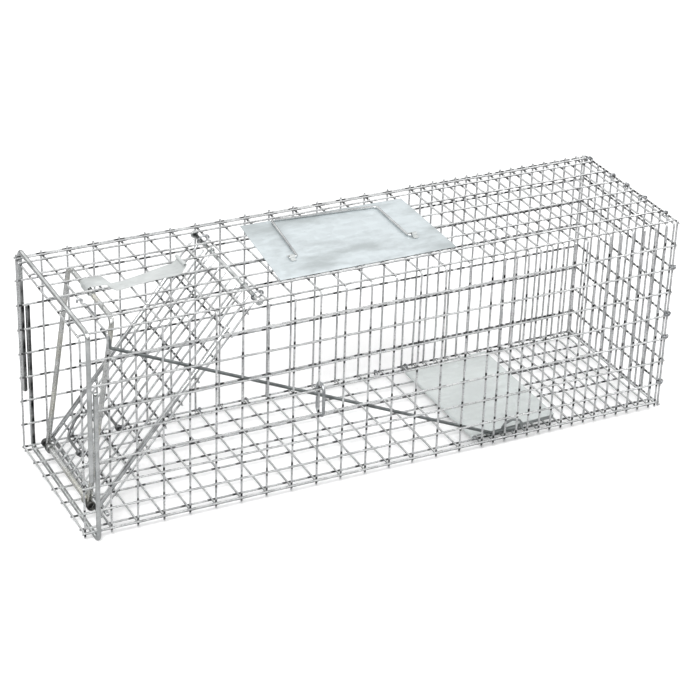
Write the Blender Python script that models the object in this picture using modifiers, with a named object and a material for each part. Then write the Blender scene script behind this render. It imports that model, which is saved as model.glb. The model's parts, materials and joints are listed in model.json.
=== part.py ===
"""Live catch cage trap: a welded wire box with a falling door, a hanging lock bail, a treadle
pan that works the door through a trigger rod, and a carrying handle on a sheet-metal plate.

Metres, +Z up. +X runs from the front opening to the closed rear end, and -Y is the near side,
where the trigger rod runs. The origin is on the ground face of the floor, at its middle.
"""
import math

import bmesh
import bpy
from mathutils import Matrix, Vector

INCH = 0.0254

# Cage box, over the outside of the wires
LENGTH = 24 * INCH
WIDTH = 6.75 * INCH
HEIGHT = 8 * INCH

# Welded mesh
PITCH = 1 * INCH  # one square of the mesh
FINE_PITCH = 0.5 * INCH  # cross wires of the rear third, and the door's long wires
FINE_START = 16 * INCH  # back from the front opening
NARROWEST_SQUARE = 0.51  # of a pitch, where a panel isn't a whole number of squares
WIRE = 0.0024  # across the corners of a mesh wire
FLOOR_WIRE = 0.0020  # the floor's flat-sided wires
ROOF_BEND = 0.235 * INCH  # width of the roof's bend into the near wall
ROOF_DROP = 0.22 * INCH  # height of that bend
ROOF_FIRST_GAP = 0.45 * INCH  # from the far seam to the roof's first long wire

# Rods, by radius
FRAME_ROD = 0.0024
HINGE_ROD = 0.0020
SIDE_ROD = 0.0020
FOOT_ROD = 0.0026
TRIGGER_ROD = 0.00175
HANDLE_WIRE = 0.00125
LIGHT_WIRE = 0.0010
LINK_WIRE = 0.0015
TREADLE_PIN = 0.00125
HOG_WIRE = 0.0008
HOG_RING = 0.0037

# Sheet metal
SHEET = 0.0008
GAP = 0.0003  # running and assembly clearance between neighbours

FRONT = -LENGTH / 2
REAR = LENGTH / 2
NEAR = -WIDTH / 2
FAR = WIDTH / 2


def spot(back, across, up):
    """A place in inches: back from the front opening, across from the near wall, up from the ground."""
    return Vector((FRONT + back * INCH, NEAR + across * INCH, up * INCH))


HOOP_OUT = 0.13  # inches from the cage box to the middle of a hoop's rod
HOOP_BEND = 0.20 * INCH

# Door: hinge line under the roof, and the foot of the closed door
DOOR_HINGE = spot(6.80, WIDTH / INCH / 2, 7.83)
DOOR_FOOT = spot(0.84, WIDTH / INCH / 2, 0.42)
DOOR_NEAR = 0.55  # inches from the near wall to the door's edges and side rods
DOOR_FAR = 6.20
SIDE_ROD_NEAR = 0.85
SIDE_ROD_FAR = 5.90
HINGE_EYES = (1.75, 4.75)

# Lock bail: it hangs from its top bar in the hanger's fold
BAIL_BAR = spot(1.65, WIDTH / INCH / 2, 7.80)
BAIL_FOOT = spot(0.62, WIDTH / INCH / 2, 0.60)
BAIL_NEAR = 1.25
BAIL_FAR = 5.60
HANGER_MID = 3.69

# Treadle and trigger rod
TREADLE_HINGE = spot(15.85, 0, 0.19)
TREADLE_LENGTH = 3.75 * INCH
TREADLE_RISE = 0.15 * INCH  # of the pan, from its hinge to its rear edge
TREADLE_NEAR = 0.45
TREADLE_FAR = 5.95
TRIGGER_ACROSS = 0.30
TRIGGER_TOP = spot(1.20, TRIGGER_ACROSS, 7.22)
TRIGGER_SLOPE = (9.10 - 1.20, 3.66 - 7.22)  # inches back and up, along the straight of the rod
GUIDE_BACK = 9.16

# Carrying handle and its plate
PLATE_CORNERS = ((7.98, 1.25), (15.07, 1.28), (15.12, 5.80), (8.45, 5.88))  # inches back, across
HANDLE_AXIS = spot(0, 2.65, 0) + Vector((0, 0, HEIGHT + GAP + SHEET + GAP + HANDLE_WIRE))


def clear_scene():
    for item in list(bpy.data.objects):
        bpy.data.objects.remove(item, do_unlink=True)


def collection(name):
    made = bpy.data.collections.new(name)
    bpy.context.scene.collection.children.link(made)
    return made


clear_scene()
PARTS = collection("live_catch_trap")


def metal(name, shade, roughness):
    """Zinc-coated steel for one sub-part."""
    made = bpy.data.materials.new(name)
    made.use_nodes = True
    shader = made.node_tree.nodes["Principled BSDF"]
    shader.inputs["Base Color"].default_value = (*shade, 1)
    shader.inputs["Roughness"].default_value = roughness
    shader.inputs["Metallic"].default_value = 1.0
    return made


BRIGHT = (0.62, 0.64, 0.65)  # zinc on welded wire
DULL = (0.36, 0.37, 0.38)  # plated rod
PALE = (0.76, 0.79, 0.80)  # galvanised sheet
WIRE_ROUGHNESS = 0.38
SHEET_ROUGHNESS = 0.45


def finish(item, name, shade, roughness=WIRE_ROUGHNESS):
    """Names a piece, gives it its own metal and files it in the object's collection."""
    item.name = name
    item.data.name = name
    item.data.materials.clear()
    item.data.materials.append(metal(name, shade, roughness))
    for old in list(item.users_collection):
        old.objects.unlink(item)
    PARTS.objects.link(item)
    return item


def pivot(name, place, lean=0.0):
    """An empty on a joint's axis, turned by lean about Y."""
    made = bpy.data.objects.new(name, None)
    made.empty_display_size = 0.02
    made.location = place
    made.rotation_euler = (0, lean, 0)
    PARTS.objects.link(made)
    return made


def hang(item, parent):
    """Parents a piece to a pivot; its mesh is already in the pivot's own axes."""
    item.parent = parent
    return item


def lines(start, stop, pitch):
    """Wire positions at an even pitch from start, with both end wires moved inside the edges.

    The last square takes up what is left over, and is never narrower than half a pitch.
    """
    way = math.copysign(1, stop - start)
    count = math.ceil(abs(stop - start) / pitch - NARROWEST_SQUARE)
    even = [start + i * way * pitch for i in range(1, count)]
    return [start + way * WIRE / 2] + even + [stop - way * WIRE / 2]


def cage_stations():
    """Cross wires along the cage: wide squares first, then narrow ones in the rear third."""
    wide = lines(FRONT, FRONT + FINE_START, PITCH)
    narrow = lines(FRONT + FINE_START, REAR - WIRE - GAP, FINE_PITCH)
    return wide[:-1] + [FRONT + FINE_START] + narrow[1:]


def grid(name, us, vs, place):
    """A flat or bent sheet of quads whose edges run where the wires run."""
    bpy.ops.mesh.primitive_grid_add(x_subdivisions=len(us) - 1, y_subdivisions=len(vs) - 1, size=2)
    item = bpy.context.object
    for vertex in item.data.vertices:
        u = us[round((vertex.co.x + 1) / 2 * (len(us) - 1))]
        v = vs[round((vertex.co.y + 1) / 2 * (len(vs) - 1))]
        vertex.co = place(u, v)
    return finish(item, name, BRIGHT)


def welded_mesh(name, us, vs, place):
    """A panel of wires welded at their crossings."""
    item = grid(name, us, vs, place)
    wires = item.modifiers.new("wires", "WIREFRAME")
    wires.thickness = WIRE
    wires.offset = 0
    wires.use_even_offset = True
    wires.use_boundary = True
    return item


def flat_wire_mesh(name, us, vs, place):
    """A panel of flat-sided wires, which can rest on the ground face to face."""
    half = FLOOR_WIRE / 2
    both_edges = [[edge for wire in wires for edge in sorted((wire - half, wire + half))]
                  for wires in (sorted(us), sorted(vs))]
    item = grid(name, *both_edges, place)
    sheet = bmesh.new()
    sheet.from_mesh(item.data)
    open_squares = [face for face in sheet.faces if face.calc_area() > 2 * PITCH * FLOOR_WIRE]
    bmesh.ops.delete(sheet, geom=open_squares, context="FACES")
    sheet.to_mesh(item.data)
    sheet.free()
    thick = item.modifiers.new("thickness", "SOLIDIFY")
    thick.thickness = FLOOR_WIRE
    thick.offset = 0
    return item


def rounded(points, bend, steps=4):
    """The points of a bent rod: straight runs joined by arcs of radius bend."""
    path = [points[0]]
    for before, corner, after in zip(points, points[1:], points[2:]):
        a = (before - corner).normalized()
        b = (after - corner).normalized()
        turn = math.pi - a.angle(b)
        if turn < 0.02:
            path.append(corner)
            continue
        reach = bend * math.tan(turn / 2)
        start = corner + a * reach
        middle = corner + (a + b).normalized() * (bend / math.cos(turn / 2))
        axis = (start - middle).cross(-a)
        for step in range(steps + 1):
            path.append(middle + Matrix.Rotation(turn * step / steps, 3, axis) @ (start - middle))
    return path + [points[-1]]


def rod(name, path, radius, shade=DULL, closed=False):
    """A round rod or wire along a path."""
    data = bpy.data.curves.new(name, "CURVE")
    data.dimensions = "3D"
    data.bevel_depth = radius
    data.bevel_resolution = 2
    data.use_fill_caps = not closed
    spline = data.splines.new("POLY")
    spline.points.add(len(path) - 1)
    for point, place in zip(spline.points, path):
        point.co = (*place, 1)
    spline.use_cyclic_u = closed
    item = bpy.data.objects.new(name, data)
    bpy.context.scene.collection.objects.link(item)
    return finish(item, name, shade)


def arc(middle, radius, start, sweep, steps, along=Vector((1, 0, 0)), up=Vector((0, 0, 1))):
    """Points on an arc in the plane of along and up; angles in degrees from along towards up."""
    made = []
    for step in range(steps + 1):
        angle = math.radians(start + sweep * step / steps)
        made.append(middle + along * math.cos(angle) * radius + up * math.sin(angle) * radius)
    return made


def hog_ring(name, middle, axis, radius=HOG_RING):
    """A closed wire ring that ties two wires together; axis is the way those wires run."""
    turn = Vector((0, 0, 1)).rotation_difference(Vector(axis)).to_euler()
    bpy.ops.mesh.primitive_torus_add(
        major_segments=10, minor_segments=5, major_radius=radius, minor_radius=HOG_WIRE,
        location=middle, rotation=turn)
    item = bpy.context.object
    item.data.shade_smooth()
    return finish(item, name, DULL)


def formed_sheet(name, profile, spans):
    """Bent sheet metal: a profile of (x, z) points, each as wide in y as its span (low, high)."""
    bpy.ops.mesh.primitive_grid_add(x_subdivisions=len(profile) - 1, y_subdivisions=1, size=2)
    item = bpy.context.object
    for vertex in item.data.vertices:
        x, z = profile[round((vertex.co.x + 1) / 2 * (len(profile) - 1))]
        low, high = spans[round((vertex.co.x + 1) / 2 * (len(profile) - 1))]
        vertex.co = (x, low if vertex.co.y < 0 else high, z)
    thick = item.modifiers.new("thickness", "SOLIDIFY")
    thick.thickness = SHEET
    thick.offset = 0
    thick.use_even_offset = True
    return finish(item, name, PALE, SHEET_ROUGHNESS)


def flat_plate(name, outlines):
    """A flat sheet cut to an outline in x and y; further outlines are holes in it."""
    data = bpy.data.curves.new(name, "CURVE")
    data.dimensions = "2D"
    data.fill_mode = "BOTH"
    data.extrude = SHEET / 2
    for outline in outlines:
        spline = data.splines.new("POLY")
        spline.points.add(len(outline) - 1)
        for point, (x, y) in zip(spline.points, outline):
            point.co = (x, y, 0, 1)
        spline.use_cyclic_u = True
    item = bpy.data.objects.new(name, data)
    bpy.context.scene.collection.objects.link(item)
    return finish(item, name, PALE, SHEET_ROUGHNESS)


# ---------------------------------------------------------------- cage panels


def cage_panels():
    stations = cage_stations()
    half = WIRE / 2
    inner_near = NEAR + WIRE + GAP
    inner_far = FAR - WIRE - GAP
    near_top = HEIGHT - ROOF_DROP - WIRE - GAP
    welded_mesh("near_side_panel", stations, lines(0, near_top, PITCH),
                lambda u, v: (u, NEAR + half, v))
    welded_mesh("far_side_panel", stations, lines(0, HEIGHT, PITCH),
                lambda u, v: (u, FAR - half, v))
    flat_wire_mesh("floor_panel", lines(FRONT, REAR - WIRE - GAP, PITCH),
                   lines(inner_far, inner_near, PITCH),
                   lambda u, v: (u, v, FLOOR_WIRE / 2))
    flat_lines = lines(inner_far - ROOF_FIRST_GAP + PITCH, NEAR + ROOF_BEND, PITCH)
    across = [inner_far - half] + flat_lines[1:-1] + [NEAR + ROOF_BEND, NEAR + half]

    def roof(u, v):
        down = ROOF_DROP if v < NEAR + WIRE else 0
        return (u, v, HEIGHT - half - down)

    welded_mesh("roof_panel", stations, across, roof)
    welded_mesh("rear_panel", lines(FAR, NEAR, FINE_PITCH), lines(0, HEIGHT, PITCH),
                lambda u, v: (REAR - half, u, v))


def hog_rings():
    """Rings that tie the rear panel to the side and the roof, and the far wall to the floor."""
    side_wires = REAR - WIRE - GAP / 2
    for number, height in enumerate((1.10, 3.10, 4.10, 6.10), 1):
        place = Vector((side_wires, NEAR + WIRE / 2, height * INCH))
        hog_ring(f"rear_side_ring_{number}", place, (0, 0, 1))
    for number, across in enumerate((0.87, 2.36, 3.63, 4.63, 6.37), 1):
        place = Vector((side_wires, NEAR + across * INCH, HEIGHT - WIRE / 2))
        hog_ring(f"rear_top_ring_{number}", place, (0, 1, 0))
    for number, back in enumerate((5.88, 7.15, 9.12, 14.80, 16.15), 1):
        place = Vector((FRONT + back * INCH, FAR - WIRE - GAP / 2, FLOOR_WIRE / 2))
        hog_ring(f"floor_seam_ring_{number}", place, (1, 0, 0))


# ---------------------------------------------------------------- front hoops


def front_hoops():
    """Two U rods round the front end, one open below and one open above."""
    low = -HOOP_OUT
    high = WIDTH / INCH + HOOP_OUT
    for name, back, turn, end in (("front_hoop_upper", 0.25, HEIGHT / INCH + HOOP_OUT, 2.33),
                                  ("front_hoop_lower", 0.47, -HOOP_OUT, 5.85)):
        corners = [spot(back, low, end), spot(back, low, turn), spot(back, high, turn),
                   spot(back, high, end)]
        rod(name, rounded(corners, HOOP_BEND), FRAME_ROD, BRIGHT)


# ---------------------------------------------------------------- door


def door():
    """The sloping door and everything that swings with it, in axes that run up its slope."""
    slope = DOOR_HINGE - DOOR_FOOT
    lean = math.atan2(slope.z, slope.x)
    length = slope.length
    axis = pivot("door_axis", DOOR_HINGE, -lean)

    def on_door(up, across, above=0.0):
        """Metres up the slope from the door's foot, inches across, metres above its wires."""
        return Vector((up - length, across * INCH - WIDTH / 2, above))

    top = length - HINGE_ROD - WIRE
    across = lines(DOOR_FAR * INCH - WIDTH / 2, DOOR_NEAR * INCH - WIDTH / 2, FINE_PITCH)
    mesh = welded_mesh("door_mesh", lines(-0.10 * INCH, top, PITCH), across,
                       lambda u, v: (u - length, v, 0))
    hang(mesh, axis)
    above = WIRE / 2 + SIDE_ROD + GAP
    below = -above
    for side, place in (("near", SIDE_ROD_NEAR), ("far", SIDE_ROD_FAR)):
        path = [on_door(0.15 * INCH, place, above), on_door(8.1 * INCH, place, above)]
        hang(rod(f"door_side_rod_{side}", path, SIDE_ROD), axis)
    foot = [on_door(0.15 * INCH, 0.45, below), on_door(0.15 * INCH, 6.30, below)]
    hang(rod("door_bottom_rod", foot, SIDE_ROD), axis)
    for side, place in zip(("near", "far"), HINGE_EYES):
        eye = HINGE_ROD + GAP + LIGHT_WIRE
        seat = WIRE / 2 + GAP + LIGHT_WIRE
        middle = on_door(length, place)
        start = math.degrees(math.asin(seat / eye)) if seat < eye else 90
        tail = [on_door(length - 1.4 * INCH, place, seat), on_door(length - 2 * eye, place, seat)]
        curl = arc(middle, eye, 180 - start, -290, 12)
        hang(rod(f"door_hinge_eye_{side}", tail + curl, LIGHT_WIRE), axis)
    pull(axis, on_door)
    rod("door_hinge_rod", [DOOR_HINGE + Vector((0, (a - WIDTH / INCH / 2) * INCH, 0))
                           for a in (0.35, 6.35)], HINGE_ROD, BRIGHT)


def pull(axis, on_door):
    """The curved wire pull on the door's face, standing a little off its wires."""
    seat = WIRE / 2 + GAP + 1.3 * LIGHT_WIRE
    rise = 0.22 * INCH
    corners = [on_door(0.75 * INCH, 3.85, seat), on_door(0.85 * INCH, 4.85, seat + rise),
               on_door(1.65 * INCH, 5.05, seat + rise), on_door(2.60 * INCH, 4.05, seat + rise),
               on_door(2.55 * INCH, 2.75, seat)]
    path = rounded(corners, 0.30 * INCH, 3)
    hang(rod("door_pull_loop", path, 1.3 * LIGHT_WIRE), axis)


def hinge_clips():
    """Rings that hang the hinge rod from the roof's cross wire behind it."""
    wire = Vector((FRONT + 7 * INCH, 0, HEIGHT - WIRE / 2))
    for side, place in (("near", 0.85), ("far", 5.70)):
        middle = (wire + Vector((DOOR_HINGE.x, 0, DOOR_HINGE.z))) / 2
        middle.y = NEAR + place * INCH
        reach = (wire.x - DOOR_HINGE.x) ** 2 + (wire.z - DOOR_HINGE.z) ** 2
        radius = (math.sqrt(reach) + HINGE_ROD + WIRE / 2) / 2 + 2 * GAP + HOG_WIRE
        hog_ring(f"hinge_clip_{side}", middle, (0, 1, 0), radius)


# ---------------------------------------------------------------- lock bail and its hanger


def lock_bail():
    """A U rod that hangs by its top bar, with a thicker foot rod across its legs."""
    axis = pivot("bail_axis", BAIL_BAR)
    drop = BAIL_FOOT - BAIL_BAR
    stop = drop * (1 - (FOOT_ROD + GAP) / drop.length)
    near = Vector((0, BAIL_NEAR * INCH - WIDTH / 2, 0))
    far = Vector((0, BAIL_FAR * INCH - WIDTH / 2, 0))
    corners = [stop + near, near, far, stop + far]
    hang(rod("lock_bail", rounded(corners, 0.30 * INCH), FRAME_ROD), axis)
    ends = [drop + Vector((0, a * INCH - WIDTH / 2, 0)) for a in (1.05, 5.95)]
    hang(rod("bail_foot_rod", ends, FOOT_ROD), axis)


def bail_hanger():
    """A strip of sheet on the roof whose front end folds down round the bail's top bar."""
    lie = HEIGHT + GAP + SHEET / 2
    curl = FRAME_ROD + GAP + SHEET / 2
    bar = Vector((BAIL_BAR.x, 0, BAIL_BAR.z))
    hook = [(p.x, p.z) for p in arc(bar, curl, 0, -180, 8)]
    tab = [(FRONT + 5.35 * INCH, lie + 0.30 * INCH), (FRONT + 5.12 * INCH, lie + 0.06 * INCH)]
    flat = [(FRONT + back * INCH, lie) for back in (4.95, 3.45, 2.75, 2.30)]
    profile = tab + flat + [(bar.x - curl, lie)] + list(reversed(hook))
    profile += [(bar.x + curl, bar.z + 0.4 * curl)]
    strap = [(3.10, 4.10), (3.10, 4.10), (3.03, 3.95), (3.00, 3.51), (2.75, 3.35), (2.70, 4.05)]
    strap += [(HANGER_MID - 0.36, HANGER_MID + 0.36)] * (len(profile) - len(strap))
    spans = [(low * INCH - WIDTH / 2, high * INCH - WIDTH / 2) for low, high in strap]
    formed_sheet("bail_hanger", profile, spans)


def bail_keeper():
    """A small wire hook in front of the bail's bar, hung on the roof's first cross wire."""
    wire = Vector((FRONT + 1 * INCH, 0, HEIGHT - WIRE / 2))
    eye = WIRE / 2 + GAP + LIGHT_WIRE
    shift = Vector((0, 2.72 * INCH - WIDTH / 2, 0))
    curl = arc(wire + shift, eye + GAP, 200, -240, 10)
    low = spot(1.24, 2.72, 7.72)
    end = spot(1.24, 1.52, 7.72)
    path = curl + rounded([curl[-1] + Vector((0.0004, 0, -0.001)), low, end], 0.08 * INCH, 3)
    rod("bail_keeper", path, LIGHT_WIRE)


# ---------------------------------------------------------------- treadle and trigger


def treadle():
    """The pan, rolled round its hinge wire at the front, and the slotted ear on its near edge."""
    axis = pivot("treadle_axis", TREADLE_HINGE)
    curl = TREADLE_PIN + GAP + SHEET / 2
    roll = [(p.x, p.z) for p in arc(Vector((0, 0, 0)), curl, -30, -240, 10)]
    pan = [(curl + 0.001, curl), (0.7 * TREADLE_LENGTH, curl + 0.7 * TREADLE_RISE),
           (TREADLE_LENGTH, curl + TREADLE_RISE)]
    span = (TREADLE_NEAR * INCH, TREADLE_FAR * INCH)
    hang(formed_sheet("treadle_plate", roll + pan, [span] * (len(roll) + 3)), axis)
    pin = [TREADLE_HINGE + Vector((0, a * INCH, 0)) for a in (0.30, 6.52)]
    rod("treadle_hinge_wire", pin, TREADLE_PIN)
    ear(axis)


def ear(axis):
    """A curved ear beside the pan, slotted so that the rod's foot can shift as the pan tilts."""
    low = -0.06 * INCH
    base = 1.15 * INCH
    reach = 1.00 * INCH
    rise = 0.52 * INCH
    outer = [(base, low), (base + reach, low)]
    outer += [(base + reach / 2 * (1 + math.cos(t)), low + rise * math.sin(t) ** 0.7)
              for t in (math.pi * i / 8 for i in range(1, 8))]
    slot = [(0.12, 0.03), (0.88, 0.03), (0.83, 0.34), (0.50, 0.43), (0.17, 0.31)]
    inner = [(base + x * INCH, low + z * INCH) for x, z in slot]
    item = flat_plate("treadle_ear", [outer, inner])
    item.rotation_euler = (math.pi / 2, 0, 0)
    item.location = (0, TREADLE_NEAR * INCH - GAP - SHEET / 2, 0)
    hang(item, axis)


def trigger_rod():
    """A long wire along the near wall from the bail to the treadle's ear."""
    run = Vector((TRIGGER_SLOPE[0], 0, TRIGGER_SLOPE[1])).normalized()
    low = 0.295 * INCH
    foot = TRIGGER_TOP + run * ((low - TRIGGER_TOP.z) / run.z)
    pin_back = TREADLE_HINGE.x + 1.88 * INCH
    rear = Vector((pin_back, TRIGGER_TOP.y, low))
    pin = rear + Vector((0, (TREADLE_NEAR - TRIGGER_ACROSS) * INCH - GAP, 0))
    arm = spot(1.16, TRIGGER_ACROSS, 7.60)
    hook = spot(1.16, 1.02, 7.60)
    corners = [hook, arm, TRIGGER_TOP, foot, rear, pin]
    rod("trigger_rod", rounded(corners, 0.10 * INCH, 3), TRIGGER_ROD)


def guide_ring():
    """A long wire link, tied round the near wall's wires, that the trigger rod runs through."""
    low = 2.86
    high = 4.14
    inside = TRIGGER_ACROSS + 0.15
    outside = -0.085
    corners = [spot(GUIDE_BACK, inside, 3.5), spot(GUIDE_BACK, inside, high),
               spot(GUIDE_BACK, outside, high), spot(GUIDE_BACK, outside, low),
               spot(GUIDE_BACK, inside, low), spot(GUIDE_BACK, inside, 3.3)]
    rod("rod_guide_ring", rounded(corners, 0.22 * INCH, 4), LINK_WIRE, BRIGHT, closed=True)


# ---------------------------------------------------------------- handle


def handle_plate():
    """The sheet under the handle, lying on the roof's wires."""
    corners = [spot(back, across, 0) for back, across in PLATE_CORNERS]
    item = flat_plate("handle_plate", [[(corner.x, corner.y) for corner in corners]])
    item.location.z = HEIGHT + GAP + SHEET / 2


def handle():
    """The carrying handle, folded flat towards the far side, and the staples it turns in."""
    axis = pivot("handle_axis", HANDLE_AXIS)

    def flat(back, across):
        return Vector((back * INCH, (across - 2.65) * INCH, 0))

    corners = [flat(8.95, 2.65), flat(9.28, 2.65), flat(9.66, 5.75), flat(13.84, 5.38),
               flat(13.80, 2.65), flat(14.14, 2.65)]
    hang(rod("handle", rounded(corners, 0.16 * INCH), HANDLE_WIRE, BRIGHT), axis)
    side = Vector((0, HANDLE_WIRE + 2 * GAP + LIGHT_WIRE, 0))
    foot = HEIGHT + SHEET + 2 * GAP
    top = HANDLE_AXIS.z + HANDLE_WIRE + 2 * GAP + LIGHT_WIRE
    for name, back in (("front", 9.06), ("rear", 14.02)):
        base = Vector((FRONT + back * INCH, HANDLE_AXIS.y, 0))
        ends = [base - side + Vector((0, 0, foot)), base - side + Vector((0, 0, top)),
                base + side + Vector((0, 0, top)), base + side + Vector((0, 0, foot))]
        rod(f"handle_staple_{name}", rounded(ends, 1.2 * LIGHT_WIRE, 3), LIGHT_WIRE)


cage_panels()
hog_rings()
front_hoops()
door()
hinge_clips()
lock_bail()
bail_hanger()
bail_keeper()
treadle()
trigger_rod()
guide_ring()
handle_plate()
handle()
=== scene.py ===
"""Looks of the live catch trap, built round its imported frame: welded zinc wire, plated rods and
galvanised sheet. Metres, in the frame's own axes: +X from the front opening to the closed rear
end, -Y the near side, +Z up.
"""

import json
import math
import random

import bpy
import numpy as np
from mathutils import Matrix, Vector


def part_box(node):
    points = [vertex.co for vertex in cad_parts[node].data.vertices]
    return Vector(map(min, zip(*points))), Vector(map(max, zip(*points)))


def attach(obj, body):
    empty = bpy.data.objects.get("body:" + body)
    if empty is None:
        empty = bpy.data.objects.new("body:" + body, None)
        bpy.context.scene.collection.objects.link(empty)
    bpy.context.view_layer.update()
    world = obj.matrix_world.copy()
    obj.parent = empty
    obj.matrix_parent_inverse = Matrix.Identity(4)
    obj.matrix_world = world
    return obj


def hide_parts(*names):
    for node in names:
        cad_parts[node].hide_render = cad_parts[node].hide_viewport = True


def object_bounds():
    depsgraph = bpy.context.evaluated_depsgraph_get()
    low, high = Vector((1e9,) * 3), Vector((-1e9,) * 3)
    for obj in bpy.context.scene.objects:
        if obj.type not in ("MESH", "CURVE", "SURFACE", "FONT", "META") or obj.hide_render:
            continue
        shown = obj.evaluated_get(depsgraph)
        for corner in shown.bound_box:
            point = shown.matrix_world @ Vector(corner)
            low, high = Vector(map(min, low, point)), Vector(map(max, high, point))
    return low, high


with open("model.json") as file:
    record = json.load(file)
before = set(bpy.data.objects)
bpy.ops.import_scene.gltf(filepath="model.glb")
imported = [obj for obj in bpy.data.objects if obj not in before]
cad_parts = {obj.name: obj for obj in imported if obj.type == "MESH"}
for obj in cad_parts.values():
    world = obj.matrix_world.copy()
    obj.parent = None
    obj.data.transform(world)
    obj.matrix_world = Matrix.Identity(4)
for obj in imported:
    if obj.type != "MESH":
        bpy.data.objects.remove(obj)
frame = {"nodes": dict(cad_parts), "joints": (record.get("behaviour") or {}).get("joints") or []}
CAD_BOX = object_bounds()

INCH = 0.0254

# Wires and rods, by radius
MESH_WIRE = 0.00102
HOOP_ROD = 0.0024  # the bail's rod too
HOOP_SLIM = 0.93  # of that radius, for the hoops as they are drawn
HINGE_ROD = 0.0020
HINGE_CAP = 0.0010
SIDE_ROD = 0.0020
FOOT_ROD = 0.0026
TRIGGER_ROD = 0.00155
HANDLE_WIRE = 0.00125
LIGHT_WIRE = 0.0010
EYE_WIRE = 0.0008
LINK_WIRE = 0.0015
TREADLE_PIN = 0.00125
RING_WIRE = 0.0009
SHEET = 0.0008  # thickness of all sheet metal
GAP = 0.0003  # between pieces that all but touch

# Welded mesh: long wires lie on the outside and cross wires on the inside, pressed together
LIFT = 0.74 * MESH_WIRE
INSET = LIFT + MESH_WIRE  # from a wall's outer face to the middle of its mesh
MESH_SIDES = 8
NUGGET = 0.00124  # radius of the bead at a weld
NUGGET_FLAT = 0.85
# how dark the weld beads are painted
NUGGET_DARKNESS = 0.25
BEND = 0.16 * INCH  # of the sheet from the near wall into the roof
WAVE = 0.00016  # how far a wire wanders from straight
TIP_EASE = 0.3  # how far in from its end a wire has its full radius, in radii
TIP_RADIUS = 0.72  # of the full radius, at the cut end
DARKENING_STEP = 0.006  # between the points of a rod that carries painted darkening
EDGE_ANGLE = math.radians(50)  # sharper edges than this stay crisp or are eased

NEAR_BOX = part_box("near_side_panel")
FAR_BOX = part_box("far_side_panel")
REAR_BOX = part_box("rear_panel")
FRONT = NEAR_BOX[0].x
REAR = REAR_BOX[1].x
NEAR = NEAR_BOX[0].y
FAR = FAR_BOX[1].y
ROOF = FAR_BOX[1].z
MIDDLE = (NEAR + FAR) / 2


def spot(back, across, up):
    """A place in inches: back from the front, across from the near wall, up from the ground."""
    return Vector((FRONT + back * INCH, NEAR + across * INCH, up * INCH))


def centre(node):
    """The middle of a CAD node's box."""
    low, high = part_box(node)
    return (low + high) / 2


def crossbar(node, place):
    """A line straight across the trap, as long as a CAD node, at a place back and up."""
    return [Vector((place.x, end.y, place.z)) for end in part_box(node)]


def joint_place(name):
    """The point a joint turns about."""
    joint = next(j for j in frame["joints"] if j["name"] == name)
    return Vector(joint["pos_m"])


# ---------------------------------------------------------------- paths


def rounded(points, bend, steps=8):
    """The points of a bent rod: straight runs joined by arcs of radius bend."""
    path = [Vector(points[0])]
    for before, corner, after in zip(points, points[1:], points[2:]):
        a = (before - corner).normalized()
        b = (after - corner).normalized()
        turn = math.pi - a.angle(b)
        reach = bend * math.tan(turn / 2)
        start = corner + a * reach
        middle = corner + (a + b).normalized() * (bend / math.cos(turn / 2))
        axis = (start - middle).cross(-a)
        for step in range(steps + 1):
            path.append(middle + Matrix.Rotation(turn * step / steps, 3, axis) @ (start - middle))
    return path + [Vector(points[-1])]


def arc(middle, radius, start, sweep, steps, along=Vector((1, 0, 0)), up=Vector((0, 0, 1)),
        drift=Vector()):
    """Points on an arc, or on a coil if it drifts; angles in degrees from along towards up."""
    made = []
    for step in range(steps + 1):
        share = step / steps
        angle = math.radians(start + sweep * share)
        made.append(middle + along * math.cos(angle) * radius + up * math.sin(angle) * radius
                    + drift * share)
    return made


# ---------------------------------------------------------------- shapes


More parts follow.
